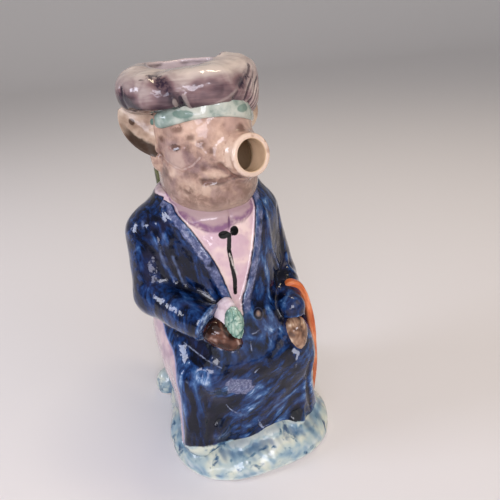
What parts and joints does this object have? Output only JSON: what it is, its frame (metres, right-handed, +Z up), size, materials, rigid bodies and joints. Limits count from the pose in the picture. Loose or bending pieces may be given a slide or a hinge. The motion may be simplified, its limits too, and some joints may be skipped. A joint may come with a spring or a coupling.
{
  "type": "pig-shaped jug",
  "caption": "Hollow glazed ceramic jug in the form of a seated pig in coat and cap, filled through the cap, poured through the snout and held by a loop handle behind.",
  "frame": {"origin": "centre of the base's underside, where it stands on the table", "axes": "+Z up, the pig's chest faces -Y, its right arm is at -X and the handle is at +Y"},
  "size_m": [0.1263, 0.158, 0.2653],
  "materials": {
    "painted_glazed_earthenware": "gloss"
  },
  "bodies": {
    "root": {"pig_jug": "painted_glazed_earthenware"}
  },
  "joints": []
}
